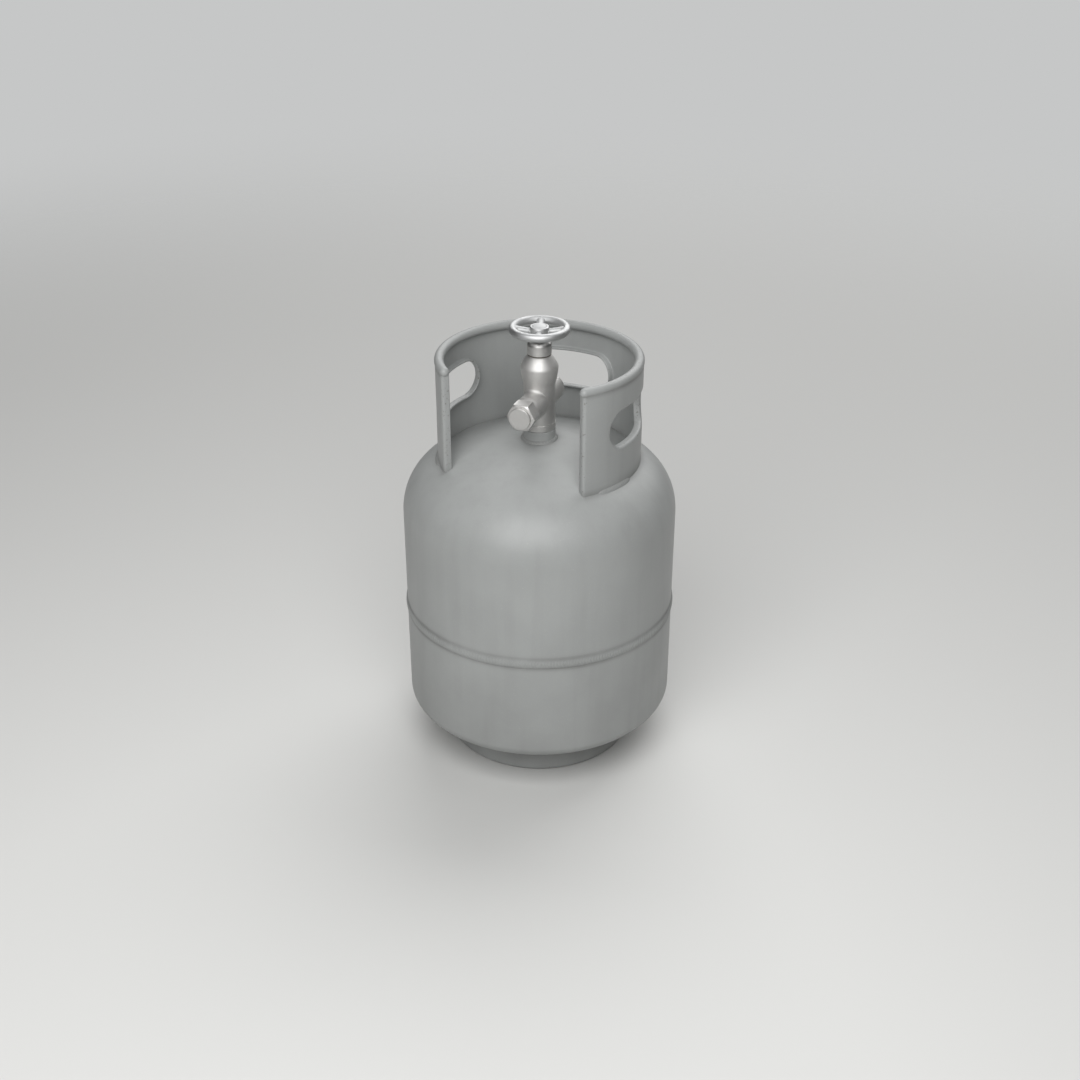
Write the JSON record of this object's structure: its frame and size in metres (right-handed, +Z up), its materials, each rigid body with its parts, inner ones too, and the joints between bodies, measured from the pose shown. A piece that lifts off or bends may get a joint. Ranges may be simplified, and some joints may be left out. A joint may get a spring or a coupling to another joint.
{
  "type": "propane tank",
  "caption": "Upright refillable propane tank: domed steel shell with a girth weld, foot ring, slotted guard collar, and a handwheel valve with a capped outlet and a relief valve.",
  "frame": {"origin": "on the floor, under the tank's axis", "axes": "+Z up along the tank's axis; the valve's outlet points along -Y, the relief valve along +Y"},
  "size_m": [0.3072, 0.3072, 0.5017],
  "materials": {
    "grey_enamel": "light grey enamel, satin",
    "nickel_brass": "satin nickel plate on forged brass",
    "cast_alloy": "die-cast, fine tumbled surface",
    "stainless": "turned",
    "black_rubber": "moulded, matt",
    "grey_fibre": "pressed fibre, matt",
    "white_nylon": "turned"
  },
  "bodies": {
    "tank": {"upper_shell": "grey_enamel", "lower_shell": "grey_enamel", "girth_weld": "grey_enamel", "foot_ring": "grey_enamel", "foot_ring_weld": "grey_enamel", "collar": "grey_enamel", "collar_weld_right": "grey_enamel", "collar_weld_rear": "grey_enamel", "collar_weld_left": "grey_enamel", "valve_spud": "grey_enamel", "spud_weld": "grey_enamel", "valve_body": "nickel_brass", "bonnet": "nickel_brass", "bonnet_gasket": "grey_fibre", "relief_retainer": "nickel_brass", "relief_spring": "stainless"},
    "wheel": {"handwheel": "cast_alloy", "wheel_washer": "stainless", "wheel_nut": "stainless", "wheel_cap": "cast_alloy", "stem": "stainless", "stem_o_ring_lower": "black_rubber", "stem_o_ring_upper": "black_rubber"},
    "seat": {"seat_holder": "nickel_brass", "seat_disc": "white_nylon"},
    "relief": {"relief_poppet": "nickel_brass", "relief_seal": "black_rubber"},
    "cap_seal": {"cap_gasket": "black_rubber"},
    "cap": {"outlet_cap": "nickel_brass"}
  },
  "joints": [
    {"name": "handwheel_turn", "type": "hinge", "parent": "tank", "child": "wheel", "pos_m": [0, 0, 0.4873], "axis": [0, 0, 1], "range_deg": [0, 770]},
    {"name": "seat_lift", "type": "slide", "parent": "wheel", "child": "seat", "axis": [0, 0, 1], "range_m": [0, 0.0032]},
    {"name": "relief_lift", "type": "slide", "parent": "tank", "child": "relief", "axis": [0, 1, 0], "range_m": [0, 0.002], "stiffness_N_per_m": 2600, "springref_m": -0.0125, "deforming": ["relief_spring"]},
    {"name": "cap_travel", "type": "slide", "parent": "tank", "child": "cap_seal", "axis": [0, -1, 0], "range_m": [0, 0.0127]},
    {"name": "cap_turn", "type": "hinge", "parent": "cap_seal", "child": "cap", "pos_m": [0, -0.05, 0.41699], "axis": [0, 1, 0], "range_deg": [0, 2525]}
  ],
  "couplings": [
    {"joint": "handwheel_turn", "follows": "seat_lift", "rad_per_m": 4188.8},
    {"joint": "cap_turn", "follows": "cap_travel", "rad_per_m": 3463.7}
  ]
}
